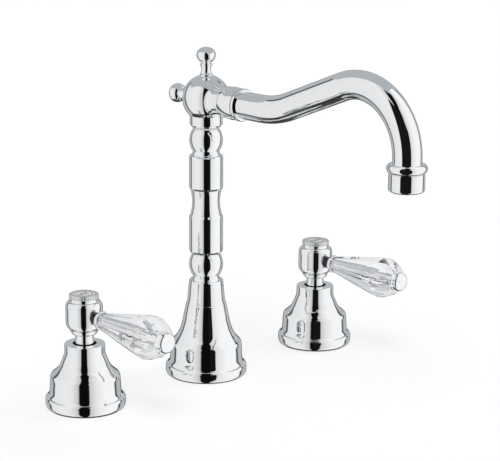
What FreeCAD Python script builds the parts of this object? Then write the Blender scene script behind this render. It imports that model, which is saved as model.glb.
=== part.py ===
# Three-hole basin mixer: a swivelling swan-neck spout on a baluster column, and two lever valves.
# Millimetres. +Z is up, the basin deck is at height 0, and the spout stands on the origin.
# The valves stand either side along X, and the spout and both levers point along -Y.
import os
from collections import namedtuple
from math import cos, radians, sin, sqrt, tan

import FreeCAD
import Part

Vector = FreeCAD.Vector
UP = Vector(0, 0, 1)
CENTRE = Vector(0, 0, 0)
HEXAGON_SIDES = 6

# Directions on an outline, in degrees, as for every slant below
OUTWARDS = 0.0
UPRIGHT = 90.0
INWARDS = 180.0

# Layout
hole_spacing = 240.0
deck_thickness = 20.0

# Clearances
running_clearance = 0.05
thread_clearance = 0.05
loose_clearance = 0.3

# Spout tail and the fastenings under the deck
tail_radius = 10.48
tail_bore = 6.5
spout_tail_length = 56.0
deck_washer_radius = 23.0
deck_washer_thickness = 3.0
steel_washer_radius = 21.0
steel_washer_thickness = 1.6
backnut_flats = 27.0
backnut_height = 7.0

# Mixing tee under the spout
tee_radius = 14.4
tee_height = 34.0
tee_socket_depth = 11.0
tee_arm_drop = 20.0
tee_arm_reach = 38.0
tee_shoulder_reach = 18.0
branch_shoulder_radius = 12.0
tee_washer_thickness = 1.5

# Bells: radius and height of each point of the outside, from the deck upwards
bell_wall = 2.2
bell_edge_round = 0.8
lip_foot_slant = 40.0
lip_top_slant = 140.0
cove_slant = 160.0
wall_slant = 92.0
shoulder_slant = 125.0
flare_slant = 138.0
flare_end_slant = 112.0
bell_neck_slant = 108.0
bell_top_slant = 98.0
gasket_thickness = 2.0
gasket_width = 4.0
Bell = namedtuple("Bell", "foot lip lip_height cove_height wall_foot wall_height wall_top "
                          "shoulder_height shoulder flare_height flare neck_height neck height top")
spout_bell_sizes = Bell(foot=30.2, lip=31.7, lip_height=8.2, cove_height=14.2, wall_foot=28.3,
                        wall_height=22.0, wall_top=27.9, shoulder_height=26.6, shoulder=27.0,
                        flare_height=36.4, flare=20.3, neck_height=47.0, neck=17.7,
                        height=57.5, top=15.6)
valve_bell_sizes = Bell(foot=28.0, lip=29.8, lip_height=8.6, cove_height=14.6, wall_foot=26.6,
                        wall_height=21.0, wall_top=26.2, shoulder_height=25.6, shoulder=25.2,
                        flare_height=33.2, flare=18.3, neck_height=42.0, neck=15.2,
                        height=49.0, top=15.1)

# Baluster column, from the bell upwards
waterway_radius = 4.6
tenon_radius = 12.4
tenon_length = 6.0
tail_socket_depth = 17.0
collar_foot_radius = 15.3
collar_foot_length = 4.2
collar_foot_slant = 110.0
collar_low_radius = 14.5
collar_top_radius = 13.3
collar_slant = 95.0
collar_length = 17.6
cove_length = 3.6
cove_edge = 0.7
cove_edge_slant = 165.0
neck_radius = 10.3
neck_length = 1.4
bead_end_radius = 10.8
lower_bead_radius = 13.2
lower_bead_length = 16.4
upper_bead_radius = 12.8
upper_bead_length = 15.2
sleeve_radius = 13.1
sleeve_edge = 1.6
sleeve_edge_radius = 12.1
lower_sleeve_length = 30.0
waist_length = 20.0
waist_radius = 10.7
upper_sleeve_length = 25.6
spigot_socket_depth = 16.6

# Swivel between the column and the head, with heights above the column's top
slip_ring_thickness = 1.0
slip_ring_radius = 10.2
spigot_radius = 8.0
spigot_height = 13.0
seal_radius = 1.0
lower_seal_height = 2.6
upper_seal_height = 10.4
seal_groove_width = 2.2
seal_groove_floor = 5.9
lock_height = 6.5
lock_groove_width = 3.2
lock_groove_floor = 6.3
lock_screw_radius = 2.0
lock_tip_radius = 1.3
lock_key_flats = 2.0
lock_key_depth = 1.6

# Ball head with its collar and nozzle
head_collar_radius = 12.55
head_collar_chamfer = 2.2
ball_radius = 18.1
ball_over_collar = 22.1
ball_wall = 4.4
nozzle_root_distance = 12.3
nozzle_root_slant = 130.0
nozzle_neck_radius = 11.4
nozzle_neck_distance = 19.5
nozzle_ring_start = 22.8
nozzle_ring_length = 2.0
nozzle_ring_rise = 0.55
nozzle_barrel_radius = 11.7
nozzle_barrel_swell = 0.6
nozzle_length = 39.0
nozzle_socket_depth = 11.0
nozzle_waterway_radius = 8.0

# Finials on the top and the back of the ball, with heights above their feet
finial_foot_radius = 5.0
finial_foot_length = 0.8
finial_foot_slant = 130.0
finial_waist_radius = 3.7
finial_waist_height = 4.5
finial_flange_radius = 4.8
finial_flange_slant = 60.0
finial_flange_height = 8.1
finial_flange_length = 0.8
finial_neck_slant = 170.0
finial_neck_radius = 3.3
finial_neck_height = 10.0
knob_foot_slant = 20.0
knob_radius = 7.35
knob_centre_height = 15.8
finial_height = 21.6
finial_stud_radius = 2.5
finial_stud_length = 3.4

# Swan-neck tube, with the bead and ferrule on it
tube_radius = 10.3
tube_wall = 1.2
spout_reach = 205.6
crest_rise = 29.8
crest_bend_radius = 45.0
heel_bend_radius = 80.0
rise_angle = 21.6
outlet_straight_length = 3.2
ferrule_gap = 0.4
ferrule_edge_radius = 11.7
ferrule_radius = 12.4
ferrule_length = 3.2
outlet_bead_edge_radius = 11.8
outlet_bead_radius = 14.2
outlet_bead_length = 6.6

# Aerator
aerator_radius = 12.6
aerator_length = 13.0
aerator_foot_round = 2.0
aerator_top_chamfer = 0.6
aerator_lip_thickness = 1.0
aerator_lip_radius = 9.2
aerator_engagement = 5.0
aerator_washer_thickness = 1.2
aerator_washer_bore = 8.2
aerator_hole_radius = 1.05
aerator_ring_pitch = 3.3
aerator_ring_count = 2
aerator_first_ring_holes = 6

# Valve body
chamber_radius = 12.0
chamber_height = 40.0
chamber_bore = 9.0
disc_seat_height = 14.0
bell_thread_length = 7.0
body_radius = 15.0
body_top_depth = 38.0
body_bottom_depth = 66.0
inlet_tail_length = 16.0
outlet_branch_depth = 52.0
outlet_branch_reach = 32.0
outlet_shoulder_reach = 16.0
port_radius = 2.3
port_offset = 4.1
top_nut_flats = 32.0
top_nut_height = 5.0

# Ceramic discs, cartridge head and spindle
disc_radius = 8.6
disc_thickness = 3.4
disc_port_angle = 70.0
disc_port_inner_radius = 2.2
disc_port_outer_radius = 7.0
disc_bridge_radius = 1.6
disc_bridge_depth = 1.4
drive_slot_width = 2.6
drive_slot_depth = 1.2
drive_flange_radius = 7.0
drive_flange_height = 3.4
cartridge_hex_flats = 17.0
cartridge_hex_height = 4.4
spindle_radius = 4.0
spindle_flat = 3.2
spindle_flat_height = 45.0
spindle_height = 71.4

# Handle hub, with heights above the deck
hub_stem_radius = 7.05
hub_stem_foot = 45.6
hub_bowl_foot = 56.2
hub_bowl_foot_radius = 8.4
hub_bowl_slant = 20.0
hub_bowl_top = 60.0
hub_bowl_radius = 10.4
hub_body_foot_radius = 10.9
hub_body_foot_slant = 35.0
hub_body_low = 66.4
hub_body_radius = 13.8
hub_body_high = 76.2
hub_shoulder = 81.6
hub_shoulder_radius = 11.0
hub_shoulder_slant = 165.0
hub_neck_slant = 150.0
hub_neck_radius = 10.3
hub_height = 83.9
hub_web_thickness = 1.6
hub_screw_hole = 2.6
button_recess_radius = 8.0

# Handle screw and index button
screw_head_radius = 4.1
screw_head_height = 3.0
screw_radius = 2.4
screw_length = 10.0
screw_key_flats = 4.0
screw_key_depth = 1.8
index_radius = 11.1
index_height = 3.0
index_bevel = 0.6
index_floor_thickness = 1.4
index_spigot_length = 5.0
index_spigot_wall = 1.6
index_recess_depth = 0.7
index_disc_thickness = 0.5
index_notch_count = 36
index_notch_radius = 0.55
index_notch_offset = 0.18

# Lever of cut crystal on a rod, with distances from the valve's axis
lever_height = 70.8
rod_radius = 2.4
rod_end = 93.2
rod_engagement = 5.6
lever_ferrule_neck_radius = 4.7
lever_ferrule_neck = 17.4
lever_ferrule_neck_slant = 75.0
lever_ferrule_cup_slant = 40.0
lever_ferrule_radius = 7.1
lever_ferrule_cup = 20.4
lever_ferrule_rim = 22.2
crystal_seat_depth = 1.2
crystal_sides = 12
crystal_bore = 2.6
crystal_root_radius = 6.2
flute_end = 63.0
flute_end_radius = 14.2
flute_tip = 70.0
girdle = 77.0
girdle_radius = 16.3
crown = 85.0
crown_radius = 13.4
crystal_end = 90.6
crystal_end_radius = 9.0
cap_collar_radius = 8.1
cap_collar_length = 1.2
cap_radius = 7.35
cap_length = 4.6
cap_dome = 0.8
cap_dome_slant = 115.0
cap_hole_depth = 3.0

# Heights that follow from the sizes above
column_foot = spout_bell_sizes.height
lower_mouldings = collar_length + cove_length + neck_length + lower_bead_length + neck_length
middle_mouldings = lower_sleeve_length + waist_length + upper_sleeve_length
upper_mouldings = cove_length + neck_length + upper_bead_length + neck_length
column_top = column_foot + lower_mouldings + middle_mouldings + upper_mouldings
head_foot = column_top + slip_ring_thickness
spout_axis = head_foot + ball_over_collar
tube_start = nozzle_length - nozzle_socket_depth
crest_centre = spout_axis + crest_rise - crest_bend_radius
outlet_bead_top = crest_centre - outlet_straight_length
aerator_top = outlet_bead_top - outlet_bead_length
aerator_foot = aerator_top - aerator_length
tube_end = aerator_top - aerator_engagement
fixed_disc_top = disc_seat_height + disc_thickness
moving_disc_top = fixed_disc_top + disc_thickness
tee_top = tee_socket_depth - tee_washer_thickness - spout_tail_length
crystal_root = lever_ferrule_rim - crystal_seat_depth
flute_slope = (flute_end_radius - crystal_root_radius) / (flute_end - crystal_root)


class Outline:
    """Half section of a turned piece, drawn edge by edge as radius and height."""

    def __init__(self, radius, height):
        self.start = Vector(radius, 0, height)
        self.end = self.start
        self.edges = []

    def add(self, curve, end):
        self.edges.append(curve.toShape())
        self.end = end
        return self

    def line(self, radius, height):
        end = Vector(radius, 0, height)
        return self.add(Part.LineSegment(self.end, end), end)

    def bow(self, radius, height, swell):
        """Arc that stands out to the right of the straight way to its end."""
        end = Vector(radius, 0, height)
        way = (end - self.end).normalize()
        middle = (self.end + end) * 0.5 + Vector(way.z, 0, -way.x) * swell
        return self.add(Part.Arc(self.end, middle, end), end)

    def curve(self, radius, height, leave, arrive):
        """Smooth curve that leaves in one direction and arrives in another."""
        end = Vector(radius, 0, height)
        quarter_circle_pull = 0.39
        pull = (end - self.end).Length * quarter_circle_pull
        first = self.end + Vector(cos(radians(leave)), 0, sin(radians(leave))) * pull
        second = end - Vector(cos(radians(arrive)), 0, sin(radians(arrive))) * pull
        bezier = Part.BezierCurve()
        bezier.setPoles([self.end, first, second, end])
        return self.add(bezier, end)

    def line_up(self, radius, rise=0.0):
        return self.line(radius, self.end.z + rise)

    def bow_up(self, radius, rise, swell):
        return self.bow(radius, self.end.z + rise, swell)

    def curve_up(self, radius, rise, leave, arrive):
        return self.curve(radius, self.end.z + rise, leave, arrive)

    def turned(self):
        self.line(self.start.x, self.start.z)
        return Part.Face(Part.Wire(self.edges)).revolve(CENTRE, UP, 360)


def rod(radius, bottom, top):
    return Part.makeCylinder(radius, top - bottom, Vector(0, 0, bottom))


def ring(bore, radius, bottom, top):
    return rod(radius, bottom, top).cut(rod(bore, bottom, top))


def polygon(radius, height, sides, turn=0.0):
    """Corners of a regular polygon, turned by a share of the angle between two corners."""
    angles = [radians(360 / sides * (i + turn)) for i in range(sides)]
    return [Vector(radius * cos(angle), radius * sin(angle), height) for angle in angles]


def hexagon_corner(flats):
    return flats / 2 / cos(radians(180 / HEXAGON_SIDES))


def hexagon(flats, bottom, top):
    """Hexagonal bar, given across its flats."""
    corners = polygon(hexagon_corner(flats), bottom, HEXAGON_SIDES)
    return Part.Face(Part.makePolygon(corners + corners[:1])).extrude(UP * (top - bottom))


def nut(flats, bore, bottom, top):
    """Hexagonal nut with its corners turned off at both ends."""
    corner = hexagon_corner(flats)
    chamfer = corner - flats / 2
    turned = Outline(0, bottom).line(flats / 2, bottom).line(corner, bottom + chamfer)
    turned.line(corner, top - chamfer).line(flats / 2, top).line(0, top)
    return hexagon(flats, bottom, top).common(turned.turned()).cut(rod(bore, bottom, top))


def forward(shape, height):
    """Lay a piece drawn along +Z down along -Y, with its axis at a height."""
    laid = shape.copy()
    laid.rotate(CENTRE, Vector(1, 0, 0), UPRIGHT)
    laid.translate(UP * height)
    return laid


def backward(shape, height):
    """Lay a piece drawn along +Z down along +Y, with its axis at a height."""
    laid = shape.copy()
    laid.rotate(CENTRE, Vector(1, 0, 0), -UPRIGHT)
    laid.translate(UP * height)
    return laid


def sideways(shape, side, height):
    """Lay a piece drawn along +Z down along +X, or along -X where side is -1."""
    laid = shape.copy()
    laid.rotate(CENTRE, Vector(0, 1, 0), UPRIGHT * side)
    laid.translate(UP * height)
    return laid


# Bells and their gaskets

def bell_outside(size):
    """Lip, cove, wall, shoulder, flare and neck of a bell, drawn from the deck upwards."""
    outline = Outline(0, 0).line(size.foot, 0)
    outline.curve(size.lip, size.lip_height / 2, lip_foot_slant, UPRIGHT)
    outline.curve(size.lip - bell_edge_round, size.lip_height, UPRIGHT, lip_top_slant)
    outline.curve(size.wall_foot, size.cove_height, cove_slant, wall_slant)
    outline.line(size.wall_top, size.wall_height)
    outline.curve(size.shoulder, size.shoulder_height, wall_slant, shoulder_slant)
    outline.curve(size.flare, size.flare_height, flare_slant, flare_end_slant)
    outline.curve(size.neck, size.neck_height, bell_neck_slant, bell_top_slant)
    outline.line(size.top, size.height - bell_edge_round)
    outline.curve(size.top - bell_edge_round, size.height, UPRIGHT, INWARDS)
    return outline.line(0, size.height).turned()


def bell_inside(size, roof):
    """Hollow of a bell up to its roof, one wall inside the outside, with a step for the gasket."""
    outline = Outline(0, 0).line(size.foot - bell_wall, 0)
    outline.line(size.foot - bell_wall, gasket_thickness)
    outline.line(size.wall_foot - bell_wall, gasket_thickness)
    outline.line(size.wall_top - bell_wall, size.wall_height - bell_wall)
    outline.curve(size.shoulder - bell_wall, size.shoulder_height - bell_wall, wall_slant, shoulder_slant)
    outline.curve(size.flare - bell_wall, size.flare_height - bell_wall, flare_slant, flare_end_slant)
    return outline.line(size.top - bell_wall, roof).line(0, roof).turned()


def bell_gasket(size):
    outer = size.foot - bell_wall - running_clearance
    return ring(outer - gasket_width, outer, 0, gasket_thickness)


def spout_bell():
    """Bell under the column, with a thick roof that takes the column's tenon."""
    roof = spout_bell_sizes.height - tenon_length
    hole = rod(tenon_radius + running_clearance, roof, spout_bell_sizes.height)
    return bell_outside(spout_bell_sizes).cut(bell_inside(spout_bell_sizes, roof)).cut(hole)


def valve_bell():
    """Bell screwed on the valve's chamber, with an open hole round the handle's stem."""
    thread_foot = chamber_height - bell_thread_length
    roof = chamber_height + cartridge_hex_height + loose_clearance
    shell = bell_outside(valve_bell_sizes).cut(bell_inside(valve_bell_sizes, thread_foot))
    thread = rod(chamber_radius + thread_clearance, thread_foot, roof)
    opening = rod(chamber_bore - running_clearance, roof, valve_bell_sizes.height)
    return shell.cut(thread).cut(opening)


# Column, tail and what holds the spout to the deck

def cove_and_neck(outline):
    """Small bevel, then a cove that draws in to a neck."""
    outline.line_up(outline.end.x - cove_edge, cove_edge)
    outline.curve_up(neck_radius, cove_length - cove_edge, cove_edge_slant, UPRIGHT)
    outline.line_up(neck_radius, neck_length)


def bead_and_neck(outline, radius, length):
    """Rounded bead with a small square step at each end, then a neck."""
    outline.line_up(bead_end_radius)
    outline.bow_up(bead_end_radius, length, radius - bead_end_radius)
    outline.line_up(neck_radius)
    outline.line_up(neck_radius, neck_length)


def baluster_column():
    """One turned piece, bored through, with a socket for the tail and one for the spigot."""
    foot = column_foot - tenon_length
    outline = Outline(waterway_radius, foot).line(tenon_radius, foot)
    outline.line(tenon_radius, column_foot).line(collar_foot_radius, column_foot)
    outline.curve_up(collar_low_radius, collar_foot_length, collar_foot_slant, collar_slant)
    outline.line_up(collar_top_radius, collar_length - collar_foot_length)
    cove_and_neck(outline)
    bead_and_neck(outline, lower_bead_radius, lower_bead_length)
    outline.line_up(sleeve_edge_radius)
    outline.line_up(sleeve_radius, sleeve_edge)
    outline.line_up(sleeve_radius, lower_sleeve_length - 2 * sleeve_edge)
    outline.line_up(sleeve_edge_radius, sleeve_edge)
    outline.bow_up(sleeve_edge_radius, waist_length, waist_radius - sleeve_edge_radius)
    outline.line_up(sleeve_radius, sleeve_edge)
    outline.line_up(sleeve_radius, upper_sleeve_length - sleeve_edge)
    cove_and_neck(outline)
    bead_and_neck(outline, upper_bead_radius, upper_bead_length)
    outline.line(waterway_radius, column_top)
    tail_socket = rod(tail_radius + thread_clearance, foot, foot + tail_socket_depth)
    spigot_socket = rod(spigot_radius + thread_clearance, column_top - spigot_socket_depth, column_top)
    return outline.turned().cut(tail_socket).cut(spigot_socket)


def spout_tail():
    return ring(tail_bore, tail_radius, -spout_tail_length, column_foot - tenon_length + tail_socket_depth)


def deck_washer(bore):
    return ring(bore, deck_washer_radius, -deck_thickness - deck_washer_thickness, -deck_thickness)


def spout_steel_washer():
    top = -deck_thickness - deck_washer_thickness
    return ring(tail_radius + thread_clearance, steel_washer_radius, top - steel_washer_thickness, top)


def spout_backnut():
    top = -deck_thickness - deck_washer_thickness - steel_washer_thickness
    return nut(backnut_flats, tail_radius + thread_clearance, top - backnut_height, top)


def shouldered_branch(shoulder_reach, reach):
    """Branch with a thread that a hose's nut goes on, as far as a plain shoulder at its root."""
    return rod(branch_shoulder_radius, 0, shoulder_reach).fuse(rod(tail_radius, shoulder_reach, reach))


def mixing_tee():
    """Tee on the spout's tail, with one shouldered, threaded arm for each valve's hose."""
    arm_axis = tee_top - tee_arm_drop
    body = rod(tee_radius, tee_top - tee_height, tee_top)
    for side in (-1, 1):
        arm = shouldered_branch(tee_shoulder_reach, tee_arm_reach)
        body = body.fuse(sideways(arm, side, arm_axis))
    body = body.cut(rod(tail_radius + thread_clearance, tee_top - tee_socket_depth, tee_top))
    body = body.cut(rod(tail_bore, arm_axis, tee_top))
    for side in (-1, 1):
        body = body.cut(sideways(rod(tail_bore, 0, tee_arm_reach), side, arm_axis))
    return body


def tee_washer():
    floor = tee_top - tee_socket_depth
    return ring(tail_bore, tail_radius, floor, floor + tee_washer_thickness)


# Swivel

def swivel_spigot():
    """Brass spigot in the column's top, with grooves for two seals and the lock screw."""
    spigot_foot = column_top - spigot_socket_depth
    spigot = ring(waterway_radius, spigot_radius, spigot_foot, column_top + spigot_height)
    grooves = ((lower_seal_height, seal_groove_width, seal_groove_floor),
               (lock_height, lock_groove_width, lock_groove_floor),
               (upper_seal_height, seal_groove_width, seal_groove_floor))
    for height, width, floor in grooves:
        middle = column_top + height
        outside = spigot_radius + running_clearance
        spigot = spigot.cut(ring(floor, outside, middle - width / 2, middle + width / 2))
    return spigot


def spigot_seal(height):
    return Part.makeTorus(spigot_radius - seal_radius, seal_radius, UP * (column_top + height))


def slip_ring():
    return ring(spigot_radius + running_clearance, slip_ring_radius, column_top, head_foot)


def lock_screw():
    """Socket screw through the back of the head's collar, with its tip in the spigot's groove."""
    tip_end = lock_groove_floor + loose_clearance
    shoulder = spigot_radius + loose_clearance
    end = head_collar_radius - loose_clearance
    screw = rod(lock_tip_radius, tip_end, shoulder).fuse(rod(lock_screw_radius, shoulder, end))
    screw = screw.cut(hexagon(lock_key_flats, end - lock_key_depth, end))
    return backward(screw, column_top + lock_height)


# Ball head, finials and nozzle

def ball_seat():
    """Distance from the ball's centre to the flat that a finial's foot covers."""
    return sqrt(ball_radius ** 2 - finial_foot_radius ** 2)


def nozzle_outside():
    """Flared root, turned ring and barrel of the nozzle, drawn from the ball's centre."""
    root_radius = sqrt(ball_radius ** 2 - nozzle_root_distance ** 2)
    outline = Outline(0, 0).line(root_radius, 0).line(root_radius, nozzle_root_distance)
    outline.curve(nozzle_neck_radius, nozzle_neck_distance, nozzle_root_slant, UPRIGHT)
    outline.line(nozzle_neck_radius, nozzle_ring_start)
    outline.bow_up(nozzle_neck_radius, nozzle_ring_length, nozzle_ring_rise)
    outline.line_up(nozzle_barrel_radius)
    outline.bow(nozzle_barrel_radius, nozzle_length, nozzle_barrel_swell)
    return outline.line(0, nozzle_length).turned()


def ball_head():
    """Hollow ball with a collar that turns on the spigot and a nozzle that holds the tube."""
    centre = UP * spout_axis
    collar = Outline(0, head_foot).line(head_collar_radius - head_collar_chamfer, head_foot)
    collar.line(head_collar_radius, head_foot + head_collar_chamfer)
    collar.line(head_collar_radius, spout_axis).line(0, spout_axis)
    head = Part.makeSphere(ball_radius, centre).fuse([collar.turned(), forward(nozzle_outside(), spout_axis)])
    seat_cut = rod(ball_radius, ball_seat(), ball_radius)
    stud_hole = rod(finial_stud_radius + thread_clearance, 0, ball_radius)
    lock_hole = rod(lock_screw_radius + thread_clearance, 0, ball_radius)
    hollows = [Part.makeSphere(ball_radius - ball_wall, centre),
               rod(spigot_radius + running_clearance, head_foot, spout_axis),
               forward(rod(nozzle_waterway_radius, 0, tube_start), spout_axis),
               forward(rod(tube_radius + thread_clearance, tube_start, nozzle_length), spout_axis),
               backward(lock_hole, column_top + lock_height)]
    for hole in (seat_cut, stud_hole):
        hollows.append(backward(hole, spout_axis))
        hole.translate(centre)
        hollows.append(hole)
    return head.cut(hollows)


def finial():
    """Waisted stem with a flange and a flattened ball on top, on a threaded stud."""
    outline = Outline(0, -finial_stud_length).line(finial_stud_radius, -finial_stud_length)
    outline.line(finial_stud_radius, 0).line(finial_foot_radius, 0)
    outline.line_up(finial_foot_radius, finial_foot_length)
    outline.curve(finial_waist_radius, finial_waist_height, finial_foot_slant, UPRIGHT)
    outline.curve(finial_flange_radius, finial_flange_height, UPRIGHT, finial_flange_slant)
    outline.line_up(finial_flange_radius, finial_flange_length)
    outline.curve(finial_neck_radius, finial_neck_height, finial_neck_slant, UPRIGHT)
    outline.curve(knob_radius, knob_centre_height, knob_foot_slant, UPRIGHT)
    return outline.curve(0, finial_height, UPRIGHT, INWARDS).turned()


def top_finial():
    placed = finial()
    placed.translate(UP * (spout_axis + ball_seat()))
    return placed


def rear_finial():
    placed = finial()
    placed.translate(UP * ball_seat())
    return backward(placed, spout_axis)


# Swan-neck tube and what is on it

def spout_path():
    """Level run, heel bend, rising run, crest bend and drop, each tangent to the next."""
    angle = radians(rise_angle)
    crest_y = crest_bend_radius - spout_reach
    crest_start = Vector(0, crest_y + crest_bend_radius * sin(angle),
                         crest_centre + crest_bend_radius * cos(angle))
    crest_middle_angle = radians((UPRIGHT - rise_angle) / 2)
    crest_middle = Vector(0, crest_y - crest_bend_radius * sin(crest_middle_angle),
                          crest_centre + crest_bend_radius * cos(crest_middle_angle))
    crest_stop = Vector(0, -spout_reach, crest_centre)
    corner_y = crest_start.y + (crest_start.z - spout_axis) / tan(angle)
    heel_start = Vector(0, corner_y + heel_bend_radius * tan(angle / 2), spout_axis)
    heel_middle = heel_start + Vector(0, -sin(angle / 2), 1 - cos(angle / 2)) * heel_bend_radius
    heel_stop = heel_start + Vector(0, -sin(angle), 1 - cos(angle)) * heel_bend_radius
    tube_root = Vector(0, -tube_start, spout_axis)
    tube_tip = Vector(0, -spout_reach, tube_end)
    curves = [Part.LineSegment(tube_root, heel_start),
              Part.Arc(heel_start, heel_middle, heel_stop),
              Part.LineSegment(heel_stop, crest_start),
              Part.Arc(crest_start, crest_middle, crest_stop),
              Part.LineSegment(crest_stop, tube_tip)]
    return Part.Wire([curve.toShape() for curve in curves])


def spout_tube():
    """Bent tube of one bore from the nozzle to the aerator."""
    path = spout_path()
    start = Vector(0, -tube_start, spout_axis)
    solids = []
    for radius in (tube_radius, tube_radius - tube_wall):
        section = Part.Wire(Part.makeCircle(radius, start, Vector(0, -1, 0)))
        solids.append(path.makePipeShell([section], True, True))
    return solids[0].cut(solids[1])


def bead_ring(bore, edge_radius, radius, bottom, top):
    """Ring with a rounded outside."""
    outline = Outline(bore, bottom).line(edge_radius, bottom)
    return outline.bow(edge_radius, top, radius - edge_radius).line(bore, top).turned()


def spout_ferrule():
    start = nozzle_length + ferrule_gap
    shape = bead_ring(tube_radius + running_clearance, ferrule_edge_radius, ferrule_radius,
                      start, start + ferrule_length)
    return forward(shape, spout_axis)


def at_outlet(shape):
    placed = shape.copy()
    placed.translate(Vector(0, -spout_reach, 0))
    return placed


def outlet_bead():
    return at_outlet(bead_ring(tube_radius + running_clearance, outlet_bead_edge_radius, outlet_bead_radius,
                               aerator_top, outlet_bead_top))


def aerator_housing():
    """Cup screwed on the tube's end, with a lip that holds the insert."""
    bore = tube_radius + thread_clearance
    floor = aerator_foot + aerator_lip_thickness
    outline = Outline(aerator_lip_radius, aerator_foot)
    outline.line(aerator_radius - aerator_foot_round, aerator_foot)
    outline.curve(aerator_radius, aerator_foot + aerator_foot_round, OUTWARDS, UPRIGHT)
    outline.line(aerator_radius, aerator_top - aerator_top_chamfer)
    outline.line(aerator_radius - aerator_top_chamfer, aerator_top).line(bore, aerator_top)
    return at_outlet(outline.line(bore, floor).line(aerator_lip_radius, floor).turned())


def aerator_insert():
    """Plastic insert with rings of holes through it."""
    bottom = aerator_foot + aerator_lip_thickness
    top = tube_end - aerator_washer_thickness
    insert = rod(tube_radius, bottom, top)
    holes = [rod(aerator_hole_radius, bottom, top)]
    for row in range(1, aerator_ring_count + 1):
        for place in polygon(row * aerator_ring_pitch, 0, row * aerator_first_ring_holes):
            hole = rod(aerator_hole_radius, bottom, top)
            hole.translate(place)
            holes.append(hole)
    return at_outlet(insert.cut(holes))


def aerator_washer():
    return at_outlet(ring(aerator_washer_bore, tube_radius, tube_end - aerator_washer_thickness, tube_end))


# Valve body and cartridge, drawn on the valve's own axis

def valve_body(side):
    """Body under the deck with an inlet tail, a branch towards the spout and the chamber above."""
    body = rod(chamber_radius, -body_top_depth, chamber_height)
    body = body.fuse(rod(body_radius, -body_bottom_depth, -body_top_depth))
    body = body.fuse(rod(tail_radius, -body_bottom_depth - inlet_tail_length, -body_bottom_depth))
    branch = shouldered_branch(outlet_shoulder_reach, outlet_branch_reach)
    body = body.fuse(sideways(branch, -side, -outlet_branch_depth))
    inlet_foot = -body_bottom_depth - inlet_tail_length
    inlet_port = rod(port_radius, inlet_foot, disc_seat_height)
    inlet_port.translate(Vector(side * port_offset, 0, 0))
    outlet_port = rod(port_radius, -outlet_branch_depth, disc_seat_height)
    outlet_port.translate(Vector(-side * port_offset, 0, 0))
    hollows = [rod(chamber_bore, disc_seat_height, chamber_height),
               rod(tail_bore, inlet_foot, inlet_foot + inlet_tail_length), inlet_port, outlet_port,
               sideways(rod(tail_bore, 0, outlet_branch_reach), -side, -outlet_branch_depth)]
    return body.cut(hollows)


def top_nut():
    return nut(top_nut_flats, chamber_radius + thread_clearance, 0, top_nut_height)


def valve_backnut():
    top = -deck_thickness - deck_washer_thickness
    return nut(top_nut_flats, chamber_radius + thread_clearance, top - backnut_height, top)


def pie(radius, middle, bottom, top):
    """Sector of the discs' port angle, round a direction in degrees."""
    sector = Part.makeCylinder(radius, top - bottom, UP * bottom, UP, disc_port_angle)
    sector.rotate(CENTRE, UP, middle - disc_port_angle / 2)
    return sector


def fixed_disc():
    """Ceramic disc with two ports, left and right of the axis."""
    disc = rod(disc_radius, disc_seat_height, fixed_disc_top)
    core = rod(disc_port_inner_radius, disc_seat_height, fixed_disc_top)
    for direction in (OUTWARDS, INWARDS):
        disc = disc.cut(pie(disc_port_outer_radius, direction, disc_seat_height, fixed_disc_top).cut(core))
    return disc


def moving_disc():
    """Ceramic disc with a hollow below that joins the two ports when it has turned a quarter."""
    disc = rod(disc_radius, fixed_disc_top, moving_disc_top)
    bridge_top = fixed_disc_top + disc_bridge_depth
    disc = disc.cut(rod(disc_bridge_radius, fixed_disc_top, bridge_top))
    for direction in (UPRIGHT, -UPRIGHT):
        disc = disc.cut(pie(disc_port_outer_radius, direction, fixed_disc_top, bridge_top))
    slot = Part.makeBox(2 * disc_radius, drive_slot_width, drive_slot_depth)
    slot.translate(Vector(-disc_radius, -drive_slot_width / 2, moving_disc_top - drive_slot_depth))
    return disc.cut(slot)


def cartridge():
    """Brass head with a hexagon, which holds the spindle down over the discs."""
    skirt_foot = moving_disc_top + loose_clearance
    flange_room = moving_disc_top + drive_flange_height + loose_clearance
    top = chamber_height + cartridge_hex_height
    head = rod(chamber_bore - thread_clearance, skirt_foot, chamber_height)
    head = head.fuse(hexagon(cartridge_hex_flats, chamber_height, top))
    head = head.cut(rod(drive_flange_radius + loose_clearance, skirt_foot, flange_room))
    return head.cut(rod(spindle_radius + running_clearance, skirt_foot, top))


def flatted_rod(radius, distance, bottom, top):
    """Rod with two flats, one each side of its axis."""
    slab = Part.makeBox(2 * distance, 2 * radius, top - bottom)
    slab.translate(Vector(-distance, -radius, bottom))
    return rod(radius, bottom, top).common(slab)


def spindle():
    """Spindle with a tang in the moving disc, a flange and two flats for the handle."""
    shaft = rod(spindle_radius, moving_disc_top, spindle_flat_height)
    top = flatted_rod(spindle_radius, spindle_flat, spindle_flat_height, spindle_height)
    flange = rod(drive_flange_radius, moving_disc_top, moving_disc_top + drive_flange_height)
    tang_width = drive_slot_width - 2 * running_clearance
    tang = Part.makeBox(2 * drive_flange_radius, tang_width, drive_slot_depth)
    tang.translate(Vector(-drive_flange_radius, -tang_width / 2, moving_disc_top - drive_slot_depth))
    tang = tang.common(rod(drive_flange_radius, moving_disc_top - drive_slot_depth, moving_disc_top))
    hole_foot = spindle_height + hub_web_thickness - screw_length
    screw_hole = rod(screw_radius + thread_clearance, hole_foot, spindle_height)
    return shaft.fuse([top, flange, tang]).cut(screw_hole)


# Handle, drawn on the valve's own axis

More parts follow.
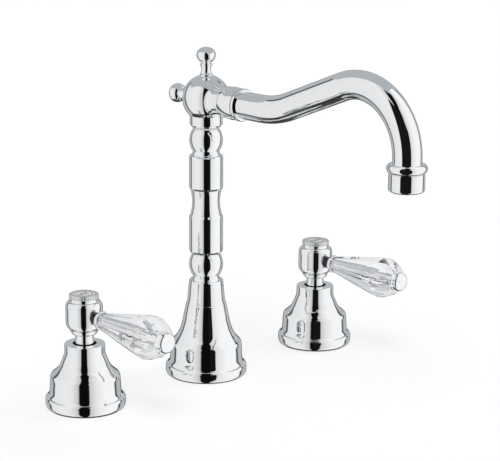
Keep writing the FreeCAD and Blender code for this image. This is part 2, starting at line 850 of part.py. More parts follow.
def hub_outside():
    """Stem, bowl, body and shoulder of the handle's hub."""
    outline = Outline(0, hub_stem_foot).line(hub_stem_radius, hub_stem_foot)
    outline.line(hub_stem_radius, hub_bowl_foot).line(hub_bowl_foot_radius, hub_bowl_foot)
    outline.curve(hub_bowl_radius, hub_bowl_top, hub_bowl_slant, UPRIGHT)
    outline.line(hub_body_foot_radius, hub_bowl_top)
    outline.curve(hub_body_radius, hub_body_low, hub_body_foot_slant, UPRIGHT)
    outline.line(hub_body_radius, hub_body_high)
    outline.curve(hub_shoulder_radius, hub_shoulder, UPRIGHT, hub_shoulder_slant)
    outline.curve(hub_neck_radius, hub_height, hub_neck_slant, UPRIGHT)
    return outline.line(0, hub_height).turned()


def handle_hub():
    """Hub with a flatted bore for the spindle, a recess for the button and a side hole for the rod."""
    web_top = spindle_height + hub_web_thickness
    bore = flatted_rod(spindle_radius + running_clearance, spindle_flat + running_clearance,
                       hub_stem_foot, spindle_height)
    rod_hole = rod(rod_radius + thread_clearance, hub_body_radius - rod_engagement, hub_body_radius)
    hollows = [bore, rod(hub_screw_hole, spindle_height, web_top),
               rod(button_recess_radius + running_clearance, web_top, hub_height),
               forward(rod_hole, lever_height)]
    return hub_outside().cut(hollows)


def handle_screw():
    seat = spindle_height + hub_web_thickness
    head_top = seat + screw_head_height
    screw = rod(screw_radius, seat - screw_length, seat).fuse(rod(screw_head_radius, seat, head_top))
    return screw.cut(hexagon(screw_key_flats, head_top - screw_key_depth, head_top))


def index_ring():
    """Button bezel with a notched edge, a recess on top and a spigot into the hub."""
    top = hub_height + index_height
    outline = Outline(0, hub_height).line(index_radius, hub_height)
    outline.line(index_radius, top - index_bevel).line(index_radius - index_bevel, top).line(0, top)
    spigot = rod(button_recess_radius, hub_height - index_spigot_length, hub_height)
    bezel = outline.turned().fuse(spigot)
    floor = top - index_recess_depth
    hollows = [rod(button_recess_radius, floor, top),
               rod(button_recess_radius - index_spigot_wall, hub_height - index_spigot_length,
                   floor - index_floor_thickness)]
    for place in polygon(index_radius + index_notch_offset, 0, index_notch_count):
        notch = rod(index_notch_radius, hub_height, top)
        notch.translate(place)
        hollows.append(notch)
    return bezel.cut(hollows)


def index_disc():
    floor = hub_height + index_height - index_recess_depth
    return rod(button_recess_radius - running_clearance, floor, floor + index_disc_thickness)


def lever_ferrule():
    """Trumpet-shaped ferrule on the rod, with its foot on the hub and a cup for the crystal."""
    cup_radius = crystal_root_radius + flute_slope * crystal_seat_depth + running_clearance
    outline = Outline(rod_radius + thread_clearance, 0).line(lever_ferrule_neck_radius, 0)
    outline.line(lever_ferrule_neck_radius, lever_ferrule_neck)
    outline.curve(lever_ferrule_radius, lever_ferrule_cup, lever_ferrule_neck_slant, lever_ferrule_cup_slant)
    outline.line(lever_ferrule_radius, lever_ferrule_rim).line(cup_radius, lever_ferrule_rim)
    outline.line(cup_radius, crystal_root).line(rod_radius + thread_clearance, crystal_root)
    return forward(outline.turned(), lever_height).cut(hub_outside())


def lever_rod():
    return forward(rod(rod_radius, hub_body_radius - rod_engagement, rod_end), lever_height)


def crystal_lever():
    """Cut crystal: long flutes with pointed ends, then triangular facets over the girdle to the end."""
    halfway = 0.5
    flat_share = cos(radians(180 / crystal_sides))
    tip_radius = (flute_end_radius + flute_slope * (flute_tip - flute_end)) * flat_share
    root = polygon(crystal_root_radius, crystal_root, crystal_sides)
    flutes = polygon(flute_end_radius, flute_end, crystal_sides)
    tips = polygon(tip_radius, flute_tip, crystal_sides, halfway)
    widest = polygon(girdle_radius, girdle, crystal_sides)
    crowns = polygon(crown_radius, crown, crystal_sides, halfway)
    last = polygon(crystal_end_radius, crystal_end, crystal_sides)
    corners = [root[::-1], last]
    for i in range(crystal_sides):
        j = (i + 1) % crystal_sides
        h = i - 1
        corners.append([root[i], root[j], flutes[j], tips[i], flutes[i]])
        corners.append([flutes[i], tips[i], widest[i]])
        corners.append([flutes[i], widest[i], tips[h]])
        corners.append([tips[i], widest[j], widest[i]])
        corners.append([widest[i], widest[j], crowns[i]])
        corners.append([widest[i], crowns[i], crowns[h]])
        corners.append([crowns[i], last[i], crowns[h]])
        corners.append([crowns[i], last[j], last[i]])
    facets = [Part.Face(Part.makePolygon(points + points[:1])) for points in corners]
    solid = Part.Solid(Part.makeShell(facets))
    return forward(solid.cut(rod(crystal_bore, crystal_root, crystal_end)), lever_height)


def end_cap():
    """Metal cap screwed on the rod's end, with a collar, a groove and a domed face."""
    shoulder = crystal_end + cap_collar_length
    face = crystal_end + cap_length
    groove_radius = cap_radius - cap_dome
    outline = Outline(0, crystal_end).line(cap_collar_radius, crystal_end)
    outline.line(cap_collar_radius, shoulder).line(groove_radius, shoulder)
    outline.line(groove_radius, shoulder + loose_clearance).line(cap_radius, shoulder + loose_clearance)
    outline.line(cap_radius, face - cap_dome)
    outline.curve(0, face, cap_dome_slant, INWARDS)
    cap = outline.turned().cut(rod(rod_radius + thread_clearance, crystal_end, crystal_end + cap_hole_depth))
    return forward(cap, lever_height)


def spout_pieces():
    return {"spout_bell": spout_bell(),
            "spout_gasket": bell_gasket(spout_bell_sizes),
            "baluster_column": baluster_column(),
            "spout_tail": spout_tail(),
            "spout_deck_washer": deck_washer(tail_radius + thread_clearance),
            "spout_steel_washer": spout_steel_washer(),
            "spout_backnut": spout_backnut(),
            "mixing_tee": mixing_tee(),
            "tee_washer": tee_washer(),
            "swivel_spigot": swivel_spigot(),
            "lower_spigot_seal": spigot_seal(lower_seal_height),
            "upper_spigot_seal": spigot_seal(upper_seal_height),
            "slip_ring": slip_ring(),
            "ball_head": ball_head(),
            "lock_screw": lock_screw(),
            "top_finial": top_finial(),
            "rear_finial": rear_finial(),
            "spout_tube": spout_tube(),
            "spout_ferrule": spout_ferrule(),
            "outlet_bead": outlet_bead(),
            "aerator_housing": aerator_housing(),
            "aerator_insert": aerator_insert(),
            "aerator_washer": aerator_washer()}


def valve_pieces(side):
    return {"bell": valve_bell(),
            "gasket": bell_gasket(valve_bell_sizes),
            "valve_body": valve_body(side),
            "top_nut": top_nut(),
            "deck_washer": deck_washer(chamber_radius + thread_clearance),
            "backnut": valve_backnut(),
            "fixed_disc": fixed_disc(),
            "moving_disc": moving_disc(),
            "cartridge": cartridge(),
            "spindle": spindle(),
            "handle_hub": handle_hub(),
            "handle_screw": handle_screw(),
            "index_ring": index_ring(),
            "index_disc": index_disc(),
            "lever_ferrule": lever_ferrule(),
            "lever_rod": lever_rod(),
            "crystal_lever": crystal_lever(),
            "end_cap": end_cap()}


pieces = spout_pieces()
for side, name in ((-1, "hot"), (1, "cold")):
    for piece_name, shape in valve_pieces(side).items():
        shape.translate(Vector(side * hole_spacing / 2, 0, 0))
        pieces[name + "_" + piece_name] = shape

os.makedirs("parts", exist_ok=True)
for piece_name, shape in pieces.items():
    shape.exportStep("parts/" + piece_name + ".step")
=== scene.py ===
# Three-hole basin mixer with a swan-neck spout and crystal levers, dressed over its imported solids.
# Metres. +Z is up, the basin deck is at height 0, and the spout stands on the origin.
from math import cos, radians, sin, tau

import bpy
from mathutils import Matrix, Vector


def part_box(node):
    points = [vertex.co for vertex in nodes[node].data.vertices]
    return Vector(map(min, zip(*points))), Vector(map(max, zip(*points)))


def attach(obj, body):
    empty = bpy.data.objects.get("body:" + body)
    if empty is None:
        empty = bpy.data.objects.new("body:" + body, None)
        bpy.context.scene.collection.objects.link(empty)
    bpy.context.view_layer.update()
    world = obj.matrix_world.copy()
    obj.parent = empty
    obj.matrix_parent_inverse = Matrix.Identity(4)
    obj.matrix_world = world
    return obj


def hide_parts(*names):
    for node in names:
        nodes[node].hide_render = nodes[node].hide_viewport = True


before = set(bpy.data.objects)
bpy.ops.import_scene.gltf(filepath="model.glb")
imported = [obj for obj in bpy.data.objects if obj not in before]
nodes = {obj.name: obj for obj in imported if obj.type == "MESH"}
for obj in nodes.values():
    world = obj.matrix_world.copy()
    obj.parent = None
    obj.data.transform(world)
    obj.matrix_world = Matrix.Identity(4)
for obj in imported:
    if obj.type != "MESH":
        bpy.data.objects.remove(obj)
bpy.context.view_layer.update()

VALVES = ("hot", "cold")

# Bells
# Each unit stands on a bell turned from brass, polished and chrome plated.
# The plating mirrors all round it, with only a trace of polishing waves and dulling.

mm = 0.001
wave_size = 6 * mm
patch_size = 22 * mm


class Socket:
    """An output in a finish's nodes. Sums on it add Math nodes."""

    def __init__(self, finish, output):
        self.finish = finish
        self.output = output

    def maths(self, operation, *terms):
        return self.finish.node("Math", {"operation": operation}, dict(enumerate(terms)))

    def __add__(self, other):
        return self.maths("ADD", self, other)

    __radd__ = __add__

    def __mul__(self, other):
        return self.maths("MULTIPLY", self, other)

    __rmul__ = __mul__

    def __sub__(self, other):
        return self.maths("SUBTRACT", self, other)

    def __rsub__(self, other):
        return self.maths("SUBTRACT", other, self)

    def __truediv__(self, other):
        return self.maths("DIVIDE", self, other)

    def __rtruediv__(self, other):
        return self.maths("DIVIDE", other, self)

    def __abs__(self):
        return self.maths("ABSOLUTE", self)


class Finish:
    """A material or the world, whose nodes are added one at a time."""

    def __init__(self, owner):
        self.owner = owner
        owner.use_nodes = True
        self.tree = owner.node_tree

    def feed(self, socket, value):
        if isinstance(value, Socket):
            self.tree.links.new(value.output, socket)
        else:
            socket.default_value = value

    def node(self, kind, settings=None, inputs=None, output=0):
        made = self.tree.nodes.new("ShaderNode" + kind)
        for name, value in (settings or {}).items():
            if name == "stops":
                ramp = made.color_ramp.elements
                while len(ramp) < len(value):
                    ramp.new(1.0)
                for stop, (position, colour) in zip(ramp, value):
                    stop.position = position
                    stop.color = colour
            else:
                setattr(made, name, value)
        for name, value in (inputs or {}).items():
            self.feed(made.inputs[name], value)
        return Socket(self, made.outputs[output])

    def mix(self, share, first, second):
        """Blend of two colours, whose sockets the Mix node numbers 6 and 7."""
        return self.node("Mix", {"data_type": "RGBA"}, {0: share, 6: first, 7: second}, 2)

    def surface(self, **values):
        """Set or link the sockets of the shader, named with underlines for spaces."""
        shader = self.tree.nodes["Principled BSDF"]
        for name, value in values.items():
            self.feed(shader.inputs[name.replace("_", " ")], value)
        return self.owner

    def place(self):
        return self.node("TexCoord", output="Object")

    def noise(self, size, detail=2.0):
        return self.node("TexNoise", {}, {"Vector": self.place(), "Scale": 1 / size, "Detail": detail})

    def bump(self, height, depth):
        return self.node("Bump", {}, {"Height": height, "Distance": depth}, "Normal")

    def rise(self, value, foot, top):
        """Smooth rise from 0 to 1 as a value goes from its foot to its top."""
        return self.node("MapRange", {"interpolation_type": "SMOOTHSTEP"},
                         {"Value": value, "From Min": foot, "From Max": top})


def new_finish(name):
    return Finish(bpy.data.materials.new(name))


def metal(name, colour, shade, roughness, dulling, wave_depth):
    """Metal with patches that differ a little in tone and dulling, and waves left by polishing."""
    finish = new_finish(name)
    patches = finish.noise(patch_size)
    return finish.surface(Base_Color=finish.mix(patches, shade, colour), Metallic=1.0,
                          Roughness=patches * dulling + roughness,
                          Normal=finish.bump(finish.noise(wave_size), wave_depth))


def dress(material, *names):
    """Give CAD nodes a finish. Their meshes and places stay as they are."""
    for name in names:
        for slot in nodes[name].material_slots:
            slot.material = material


def of_each_valve(*names):
    return [valve + "_" + name for valve in VALVES for name in names]


chrome = metal("polished_chrome", colour=(0.93, 0.94, 0.95, 1.0), shade=(0.88, 0.89, 0.90, 1.0),
               roughness=0.02, dulling=0.02, wave_depth=0.0006 * mm)
dress(chrome, "spout_bell", *of_each_valve("bell"))

# Gaskets and washers
# Black rubber rings, moulded, under each bell and under the deck, and at the tee, spigot and aerator.
# Rubber is matt with a fine grain and a faint bloom.

rubber_colour = (0.022, 0.022, 0.024, 1.0)
rubber_bloom = (0.05, 0.05, 0.052, 1.0)
rubber_roughness = 0.55
bloom_dulling = 0.2
grain_depth = 0.03 * mm
rubber_finish = new_finish("black_rubber")
bloom = rubber_finish.noise(size=9 * mm, detail=4.0)
grain = rubber_finish.noise(size=0.4 * mm)
rubber = rubber_finish.surface(Base_Color=rubber_finish.mix(bloom, rubber_colour, rubber_bloom),
                               Roughness=bloom * bloom_dulling + rubber_roughness,
                               Normal=rubber_finish.bump(grain, grain_depth))
dress(rubber, "spout_gasket", "spout_deck_washer", "tee_washer", "lower_spigot_seal",
      "upper_spigot_seal", "aerator_washer", *of_each_valve("gasket", "deck_washer"))

# Column
# One baluster, turned from brass bar with beads, coves and sleeves, then plated as the bells are.
# It screws on the tail, which runs down through the deck.

dress(chrome, "baluster_column")

# Tail, nuts, tee and valve bodies
# What clamps the units under the deck and carries the water is plain machined brass.
# The tail is threaded, shown as ridges round it, and what stands in the bells' holes is duller, and
# coloured near black as painted shade.

brass_colour = (0.72, 0.52, 0.24, 1.0)
brass_shade = (0.60, 0.41, 0.17, 1.0)
thread_pitch = 1.8 * mm
ridge_depth = 0.5 * mm
thread_roughness = 0.25
thread_dulling = 0.15
wave_node_factor = 20
brass = metal("machined_brass", brass_colour, brass_shade, roughness=0.22, dulling=0.18,
              wave_depth=0.004 * mm)
# Painted shade: the top nuts and cartridges are coloured near black for the shade in the bells' holes.
painted_shade_brass = metal("painted_shade_brass", colour=(0.10, 0.08, 0.05, 1.0), shade=(0.05, 0.04, 0.03, 1.0),
                     roughness=0.5, dulling=0.2, wave_depth=0.004 * mm)
tail_finish = new_finish("threaded_brass")
tail_patches = tail_finish.noise(patch_size, detail=4.0)
ridges = tail_finish.node("TexWave", {"wave_type": "BANDS", "bands_direction": "Z", "wave_profile": "TRI"},
                          {"Vector": tail_finish.place(), "Scale": tau / wave_node_factor / thread_pitch},
                          "Fac")
threaded_brass = tail_finish.surface(
    Base_Color=tail_finish.mix(tail_patches, brass_shade, brass_colour), Metallic=1.0,
    Roughness=tail_patches * thread_dulling + thread_roughness,
    Normal=tail_finish.bump(ridges, ridge_depth))
dress(threaded_brass, "spout_tail")
dress(brass, "spout_backnut", "mixing_tee", "swivel_spigot",
      *of_each_valve("valve_body", "backnut", "spindle"))
dress(painted_shade_brass, *of_each_valve("top_nut", "cartridge"))

# Steel washer and screws
# Small turned steel pieces, bright but not polished.
# The lock screw and the handle screws have hexagon sockets.

steel = metal("bright_steel", colour=(0.62, 0.63, 0.64, 1.0), shade=(0.50, 0.51, 0.52, 1.0),
              roughness=0.2, dulling=0.15, wave_depth=0.003 * mm)
dress(steel, "spout_steel_washer", "lock_screw", *of_each_valve("handle_screw"))

# Ceramic discs and white plastic
# The water is turned on by two lapped ceramic discs in each valve.
# The aerator's insert and the slip ring under the head are moulded plastic.

tone_size = 5 * mm
skin_size = 1 * mm
skin_depth = 0.005 * mm
tone_dulling = 0.1


def moulded(name, colour, shade, roughness):
    """Fired, moulded or printed stuff with a slightly uneven tone and skin."""
    finish = new_finish(name)
    tone = finish.noise(tone_size, detail=3.0)
    return finish.surface(Base_Color=finish.mix(tone, shade, colour),
                          Roughness=tone * tone_dulling + roughness,
                          Normal=finish.bump(finish.noise(skin_size), skin_depth))


ceramic = moulded("lapped_ceramic", colour=(0.83, 0.83, 0.80, 1.0), shade=(0.78, 0.78, 0.75, 1.0),
                  roughness=0.12)
plastic = moulded("white_plastic", colour=(0.84, 0.84, 0.83, 1.0), shade=(0.79, 0.79, 0.78, 1.0),
                  roughness=0.35)
dress(ceramic, *of_each_valve("fixed_disc", "moving_disc"))
dress(plastic, "slip_ring", "aerator_insert")

# Head, finials, spout and outlet
# The hollow ball turns on the spigot and carries the bent tube, all plated as one with the column.
# Waisted finials are screwed into its top and back, and beads hide the joints of the tube.

dress(chrome, "ball_head", "top_finial", "rear_finial", "spout_tube", "spout_ferrule", "outlet_bead",
      "aerator_housing")

# Aerator gauze
# A disc of woven steel wire lies over the foot of the aerator's insert and breaks up the stream.
# It is punched from flat mesh, so its rim is cut across the wires.

gauze_pitch = 0.9 * mm
wire_thickness = 0.2 * mm
gauze_radius = 9.0 * mm
weld_distance = 0.001 * mm


def only(thing):
    """Select one object and nothing else."""
    bpy.ops.object.select_all(action="DESELECT")
    thing.select_set(True)
    bpy.context.view_layer.objects.active = thing


def new_piece(add, **sizes):
    """Add a primitive or a text with everything else deselected."""
    bpy.ops.object.select_all(action="DESELECT")
    add(**sizes)
    return bpy.context.object


def apply_modifier(thing, kind, **settings):
    only(thing)
    modifier = thing.modifiers.new(kind, kind)
    for name, value in settings.items():
        setattr(modifier, name, value)
    bpy.ops.object.modifier_apply(modifier=kind)


def settle(thing, name, material, body):
    """Put a finished piece's place into its mesh, and name, colour and seat it on its body."""
    only(thing)
    bpy.ops.object.transform_apply(location=True, rotation=True, scale=True)
    thing.name = name
    thing.data.name = name
    thing.data.materials.clear()
    thing.data.materials.append(material)
    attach(thing, body)


def edit(thing, *steps):
    """Run steps on a piece's mesh in edit mode, on what is selected in it."""
    only(thing)
    bpy.ops.object.mode_set(mode="EDIT")
    for step in steps:
        step()
    bpy.ops.object.mode_set(mode="OBJECT")


def select_whole_mesh():
    bpy.ops.mesh.select_all(action="SELECT")


def face_outwards():
    bpy.ops.mesh.remove_doubles(threshold=weld_distance)
    bpy.ops.mesh.normals_make_consistent(inside=False)


def pick(thing, kind, wanted):
    """Select the vertices or edges of a piece's mesh that are wanted, and no others."""
    edit(thing, lambda: bpy.ops.mesh.select_mode(type=kind),
         lambda: bpy.ops.mesh.select_all(action="DESELECT"))
    for part in thing.data.vertices if kind == "VERT" else thing.data.edges:
        part.select = wanted(part)


insert_low, insert_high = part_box("aerator_insert")
insert_middle = (insert_low + insert_high) / 2
gauze_centre = Vector((insert_middle.x, insert_middle.y, insert_low.z - wire_thickness))
wires = round(2 * gauze_radius / gauze_pitch)
gauze = new_piece(bpy.ops.mesh.primitive_grid_add, x_subdivisions=wires, y_subdivisions=wires,
                  size=2 * gauze_radius, location=gauze_centre)
pick(gauze, "VERT", lambda vertex: vertex.co.length > gauze_radius)
edit(gauze, lambda: bpy.ops.mesh.delete(type="VERT"))
apply_modifier(gauze, "WIREFRAME", thickness=wire_thickness, use_boundary=True)
settle(gauze, "aerator_gauze", steel, "spout")

# Handle hubs and trumpets
# Each valve's hub is turned from brass with a bowl, a barrel and a shoulder. It and the end cap are plated.
# The plated trumpet that carries the crystal has painted shade in its colour, darker towards its neck,
# where the hub shades it.

ring_colour = (0.80, 0.81, 0.82, 1.0)
neck_painted_shade = (0.04, 0.04, 0.045, 1.0)
painted_shade_starts = 0.3
painted_shade_full = 0.6
trumpet_roughness = 0.06
trumpet_dulling = 0.04
ring_end, neck_end = (corner.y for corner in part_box("hot_lever_ferrule"))
trumpet_length = neck_end - ring_end
# Painted shade: the trumpet's colour runs from the ring's grey to near black at its neck.
trumpet_finish = new_finish("trumpet_chrome_painted_shade")
way_along = trumpet_finish.node("SeparateXYZ", {}, {0: trumpet_finish.place()}, "Y")
painted_shade_to_neck = trumpet_finish.rise(way_along, ring_end + trumpet_length * painted_shade_starts,
                              ring_end + trumpet_length * painted_shade_full)
trumpet_chrome_painted_shade = trumpet_finish.surface(
    Base_Color=trumpet_finish.mix(painted_shade_to_neck, ring_colour, neck_painted_shade), Metallic=1.0,
    Roughness=trumpet_finish.noise(patch_size) * trumpet_dulling + trumpet_roughness)
dress(chrome, *of_each_valve("handle_hub", "end_cap"))
dress(trumpet_chrome_painted_shade, *of_each_valve("lever_ferrule"))

# Index buttons
# A satin bezel with a notched edge is pressed into the hub, round an ivory-coloured disc.
# The disc is printed in dark grey with the side's plain word inside a fine ring.

print_depth = 0.05 * mm
word_height = 5.6 * mm
word_weight = 0.12 * mm
word_narrowing = 0.66
word_spacing = 1.05
ring_radius = 6.4 * mm
ring_line = 0.22 * mm
ring_sides = 64
line_sides = 8
satin = metal("satin_chrome", colour=(0.86, 0.87, 0.88, 1.0), shade=(0.78, 0.79, 0.80, 1.0),
              roughness=0.26, dulling=0.1, wave_depth=0.002 * mm)
ivory = moulded("ivory_enamel", colour=(0.74, 0.74, 0.72, 1.0), shade=(0.69, 0.69, 0.67, 1.0),
                roughness=0.22)
ink = moulded("printed_ink", colour=(0.05, 0.05, 0.055, 1.0), shade=(0.08, 0.08, 0.085, 1.0),
              roughness=0.45)
dress(satin, *of_each_valve("index_ring"))
dress(ivory, *of_each_valve("index_disc"))

for valve in VALVES:
    low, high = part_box(valve + "_index_disc")
    face = Vector(((low.x + high.x) / 2, (low.y + high.y) / 2, high.z))
    word = new_piece(bpy.ops.object.text_add, location=face)
    word.data.body = valve.upper()
    word.data.align_x = "CENTER"
    word.data.align_y = "CENTER"
    word.data.size = word_height
    word.data.offset = word_weight
    word.data.space_character = word_spacing
    word.data.extrude = print_depth
    bpy.ops.object.convert(target="MESH")
    word = bpy.context.object
    word.scale.x = word_narrowing
    new_piece(bpy.ops.mesh.primitive_torus_add, location=face, major_radius=ring_radius,
              minor_radius=ring_line, major_segments=ring_sides, minor_segments=line_sides)
    word.select_set(True)
    bpy.context.view_layer.objects.active = word
    bpy.ops.object.join()
    edit(word, select_whole_mesh, face_outwards)
    settle(word, valve + "_index_print", ink, valve + "_handle")

# Lever rods
# A nickel-plated steel rod runs from each hub through the crystal to the end cap, threaded all along.
# Its fine thread shows through the crystal as streaks of light.

rod_pitch = 1.2 * mm
thread_depth = 0.16 * mm
ridge_share = 0.75
ridge_sides = 3
rod_sides = 24
rod_smooth_angle = radians(35)
upright_to_lever = (radians(90), 0, 0)
rod_plating = metal("bright_nickel", colour=(0.96, 0.96, 0.97, 1.0), shade=(0.92, 0.92, 0.93, 1.0),
                    roughness=0.06, dulling=0.04, wave_depth=0.001 * mm)
valve_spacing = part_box("cold_bell")[0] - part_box("hot_bell")[0]


def cold_copy(piece):
    """A copy of a hot lever's piece with its own mesh, at the cold valve."""
    made = piece.copy()
    made.data = piece.data.copy()
    bpy.context.collection.objects.link(made)
    made.location += valve_spacing
    return made


low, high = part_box("hot_lever_rod")
rod_radius = (high.x - low.x) / 2
rod_length = high.y - low.y
ridge_radius = thread_depth * ridge_share
turns = int(rod_length / rod_pitch) - 1
coil = new_piece(bpy.ops.mesh.primitive_circle_add, vertices=ridge_sides, radius=ridge_radius,
                 rotation=upright_to_lever)
bpy.ops.object.transform_apply(rotation=True)
edit(coil, select_whole_mesh,
     lambda: bpy.ops.transform.translate(value=(rod_radius - ridge_radius, 0, -turns * rod_pitch / 2)))
apply_modifier(coil, "SCREW", axis="Z", screw_offset=rod_pitch, iterations=turns, steps=rod_sides,
               render_steps=rod_sides)
edit(coil, select_whole_mesh, lambda: bpy.ops.mesh.fill_holes(sides=ridge_sides), face_outwards)
rod = new_piece(bpy.ops.mesh.primitive_cylinder_add, vertices=rod_sides, radius=rod_radius - thread_depth,
                depth=rod_length)
coil.select_set(True)
bpy.ops.object.join()
rod.rotation_euler = upright_to_lever
rod.location = (low + high) / 2
only(rod)
bpy.ops.object.shade_smooth_by_angle(angle=rod_smooth_angle)
for valve, piece in zip(VALVES, (rod, cold_copy(rod))):
    settle(piece, valve + "_threaded_rod", rod_plating, valve + "_handle")
    piece.visible_glossy = False
    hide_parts(valve + "_lever_rod")

# Crystal levers
# Each lever is lead crystal, ground with long flutes and a band of facets, and bored for its rod.
# Wheel-cut arrises are slightly rounded, which draws the bright lines along every edge.

arris_width = 0.16 * mm
axis_clear = 4.0 * mm
mesh_weld = 0.002 * mm
flat_angle = radians(0.5)
facet_angle = radians(12)
crystal_tint = (0.90, 0.91, 0.93, 1.0)
crystal_clear = (0.96, 0.96, 0.97, 1.0)
polish_share = 0.01
crystal_finish = new_finish("cut_crystal")
haze = crystal_finish.noise(size=8 * mm)
crystal = crystal_finish.surface(Base_Color=crystal_finish.mix(haze, crystal_tint, crystal_clear),
                                 Roughness=haze * polish_share, Transmission_Weight=1.0, IOR=1.53)

rough = nodes["hot_crystal_lever"]
low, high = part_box(rough.name)
middle = (low + high) / 2
lever = bpy.data.objects.new("cut_crystal", rough.data.copy())
bpy.context.collection.objects.link(lever)
only(lever)
bpy.ops.mesh.customdata_custom_splitnormals_clear()
edit(lever, select_whole_mesh, lambda: bpy.ops.mesh.remove_doubles(threshold=mesh_weld),
     lambda: bpy.ops.mesh.dissolve_limited(angle_limit=flat_angle))


def off_axis(edge):
    """True for an edge of the outside, whose ends both lie clear of the bore."""
    ends = [lever.data.vertices[i].co - middle for i in edge.vertices]
    return all(Vector((end.x, end.z)).length > axis_clear for end in ends)


pick(lever, "EDGE", off_axis)
edit(lever, lambda: bpy.ops.mesh.bevel(offset=arris_width, segments=1, affect="EDGES", clamp_overlap=True))
bpy.ops.object.shade_smooth_by_angle(angle=facet_angle)
for valve, piece in zip(VALVES, (lever, cold_copy(lever))):
    settle(piece, valve + "_cut_crystal", crystal, valve + "_handle")
    piece.visible_glossy = False
    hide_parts(valve + "_crystal_lever")

# Camera
# It looks down a little from the left front, as the photograph does.
# The shift only places the object in the photograph's frame.

camera_bearing = radians(-41.59)
camera_elevation = radians(14.56)
camera_distance = 1.4
camera_target = Vector((0, 0, 0.1))
camera_lens = 130.1
film_width = 36
shift_right, shift_up = 0.0878, 0.0369
upwards = Vector((0, 0, 1))
level_way = Vector((sin(camera_bearing), -cos(camera_bearing), 0))
camera_way = level_way * cos(camera_elevation) + upwards * sin(camera_elevation)
camera = bpy.data.objects.new("camera", bpy.data.cameras.new("camera"))
bpy.context.collection.objects.link(camera)
camera.location = camera_target + camera_way * camera_distance
camera.rotation_euler = (-camera_way).to_track_quat("-Z", "Y").to_euler()
camera.data.lens = camera_lens
camera.data.sensor_width = film_width
camera.data.shift_x = shift_right
camera.data.shift_y = shift_up
bpy.context.scene.camera = camera
bpy.context.scene.view_settings.view_transform = "Standard"

# Studio
# White cloth stands all round, with a black gap in front, and a grey sheet in a dark frame at the back.
# The chrome mirrors it, the crystal sees it paler, and the view itself is white behind the set.

WHITE = (1.0, 1.0, 1.0, 1.0)
BLACK = (0.005, 0.005, 0.005, 1.0)
ambient = (0.62, 0.62, 0.62, 1.0)
back_grey = (0.47, 0.50, 0.52, 1.0)
crystal_white_share = 0.35

# Each pair is a bearing in degrees from the camera's side, and how bright the cloth is there.
left_cloth = ((-180, 0.75), (-60, 0.90), (-40, 0.86), (-19, 0.60), (-15, 0.004))
right_cloth = ((15, 0.004), (18, 0.62), (40, 0.86), (70, 1.0), (180, 1.0))
spread_from = radians(55)
spread_rate = 4.0

back_from = radians(117)
back_lean = 0.45
back_edge = radians(1)
frame_inside = radians(2)
frame_outside = radians(9)
frame_depth = 0.88

door_angle = radians(26)
door_edge = radians(8)
door_depth = 0.8
foot_dip = radians(70.5)
foot_angle = radians(36)
foot_edge_inside = radians(3)
foot_edge_outside = radians(-1)
foot_depth = 0.9

studio = Finish(bpy.data.worlds.new("studio"))
bpy.context.scene.world = studio.owner
right_way = Vector((cos(camera_bearing), sin(camera_bearing), 0))
foot_way = -level_way * cos(foot_dip) - upwards * sin(foot_dip)


def along(way):
    """How far the direction that is looked in goes along a way."""
    direction = studio.node("TexCoord", output="Generated")
    return studio.node("VectorMath", {"operation": "DOT_PRODUCT"}, {0: direction, 1: way}, "Value")


def angle_from(way):
    cosine = along(way)
    return cosine.maths("ARCCOSINE", cosine)


def no_less_than_zero(value):
    return value.maths("MAXIMUM", value, 0.0)


bearing = along(right_way).maths("ARCTAN2", along(right_way), along(level_way))
elevation = bearing.maths("ARCSINE", along(upwards))
narrowed = bearing / (no_less_than_zero(elevation - spread_from) * spread_rate + 1)
stops = [(0.5 + radians(angle) / tau, (level, level, level, 1.0))
         for angle, level in left_cloth + right_cloth]
cloth = studio.node("ValToRGB", {"stops": stops}, {0: narrowed * (1 / tau) + 0.5}, "Color")
past_back = abs(bearing) - no_less_than_zero(elevation + camera_elevation) * back_lean - back_from
dark_frame = 1 - studio.rise(abs(past_back), frame_inside, frame_outside)
dark_door = studio.rise(door_angle - angle_from(-camera_way), 0, door_edge)
dark_foot = studio.rise(foot_angle - angle_from(foot_way), foot_edge_outside, foot_edge_inside)
picture = studio.mix(studio.rise(past_back, -back_edge, back_edge), cloth, back_grey)
picture = studio.mix(dark_door * door_depth, picture, BLACK)
picture = studio.mix(dark_frame * frame_depth, picture, BLACK)
picture = studio.mix(dark_foot * foot_depth, picture, BLACK)
to_camera = studio.node("LightPath", output="Is Camera Ray")
through_crystal = studio.node("LightPath", output="Is Transmission Ray")
spread_light = studio.node("LightPath", output="Is Diffuse Ray")
white_share = to_camera.maths("MAXIMUM", to_camera, through_crystal * crystal_white_share)
picture = studio.mix(white_share, picture, WHITE)
picture = studio.mix(spread_light, picture, ambient)
studio.feed(studio.tree.nodes["Background"].inputs["Color"], picture)

# Cards
# A tall black card stands near the outlet, and a grey one hangs close over the spout.
# Only the chrome sees them, and it doesn't see what is under the deck or the caps on the levers.

black_card_ahead = 0.37
black_card_aside = 0.167
black_card_turn = radians(41.6)
black_card_width = 0.35
black_card_foot = -0.20
black_card_top = 0.40
roof_card_place = Vector((0.02, 0.02, 0.33))
roof_card_turn = radians(15)
roof_card_sides = (0.185, 0.42)
roof_card_reach = 0.19
everywhere = 10.0
card_grain = 20 * mm
grain_share = 0.1
under_deck = -1 * mm


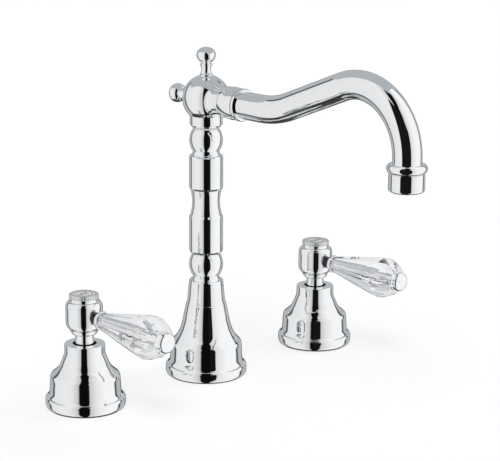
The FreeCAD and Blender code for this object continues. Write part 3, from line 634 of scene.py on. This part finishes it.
def card(name, centre, turn, sides, colour, reach):
    """A flat card that only mirrors within its reach see, and only from its front."""
    made = new_piece(bpy.ops.mesh.primitive_plane_add, size=1, location=centre, rotation=turn)
    made.scale = (*sides, 1)
    bpy.ops.object.transform_apply(location=True, rotation=True, scale=True)
    made.name = name
    board = new_finish(name)
    front = 1 - board.node("NewGeometry", output="Backfacing")
    near = front.maths("LESS_THAN", board.node("LightPath", output="Ray Length"), reach)
    made.data.materials.append(board.surface(
        Base_Color=BLACK, Roughness=1.0, Specular_IOR_Level=0.0, Alpha=front * near,
        Emission_Color=board.mix(board.noise(card_grain) * grain_share, colour, BLACK),
        Emission_Strength=1.0))
    made.visible_camera = False
    made.visible_diffuse = False
    made.visible_transmission = False
    made.visible_shadow = False


card("black_card", colour=BLACK, reach=everywhere,
     centre=level_way * black_card_ahead + right_way * black_card_aside
     + upwards * (black_card_foot + black_card_top) / 2,
     turn=(radians(90), 0, camera_bearing + radians(90) + black_card_turn),
     sides=(black_card_width, black_card_top - black_card_foot))
card("roof_card", colour=back_grey, reach=roof_card_reach, centre=roof_card_place,
     turn=(radians(180), 0, roof_card_turn), sides=roof_card_sides)
for name, node in nodes.items():
    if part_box(name)[0].z < under_deck or name.endswith("end_cap"):
        node.visible_glossy = False

# Floor and lamps
# A white sheet carries the three units and takes their soft shadow.
# A broad soft light comes from the left front and a weaker one from the right.

floor_size = 8.0
floor_glow = 0.59
floor_colour = (0.41, 0.41, 0.41, 1.0)
floor_shade = (0.40, 0.40, 0.40, 1.0)
unseen_glow = (0.5, 0.5, 0.5, 1.0)
weave_size = 0.5 * mm
lamp_breadth = radians(25)
floor = new_piece(bpy.ops.mesh.primitive_plane_add, size=floor_size)
floor.name = "floor"
floor.visible_glossy = False
sheet = new_finish("white_sheet")
seen = sheet.node("LightPath", output="Is Camera Ray")
glow = seen.maths("MAXIMUM", seen, sheet.node("LightPath", output="Is Transmission Ray"))
floor.data.materials.append(sheet.surface(
    Base_Color=sheet.mix(sheet.noise(weave_size), floor_shade, floor_colour), Roughness=1.0,
    Specular_IOR_Level=0.0, Emission_Color=sheet.mix(glow, unseen_glow, WHITE),
    Emission_Strength=floor_glow))


def soft_light(name, way, strength):
    lamp = bpy.data.objects.new(name, bpy.data.lights.new(name, "SUN"))
    bpy.context.collection.objects.link(lamp)
    lamp.location = way
    lamp.rotation_euler = Vector(way).to_track_quat("Z", "Y").to_euler()
    lamp.data.energy = strength
    lamp.data.angle = lamp_breadth
    lamp.visible_glossy = False


soft_light("key", way=(-1.0, -0.9, 1.6), strength=1.25)
soft_light("fill", way=(1.2, -0.5, 1.2), strength=0.5)
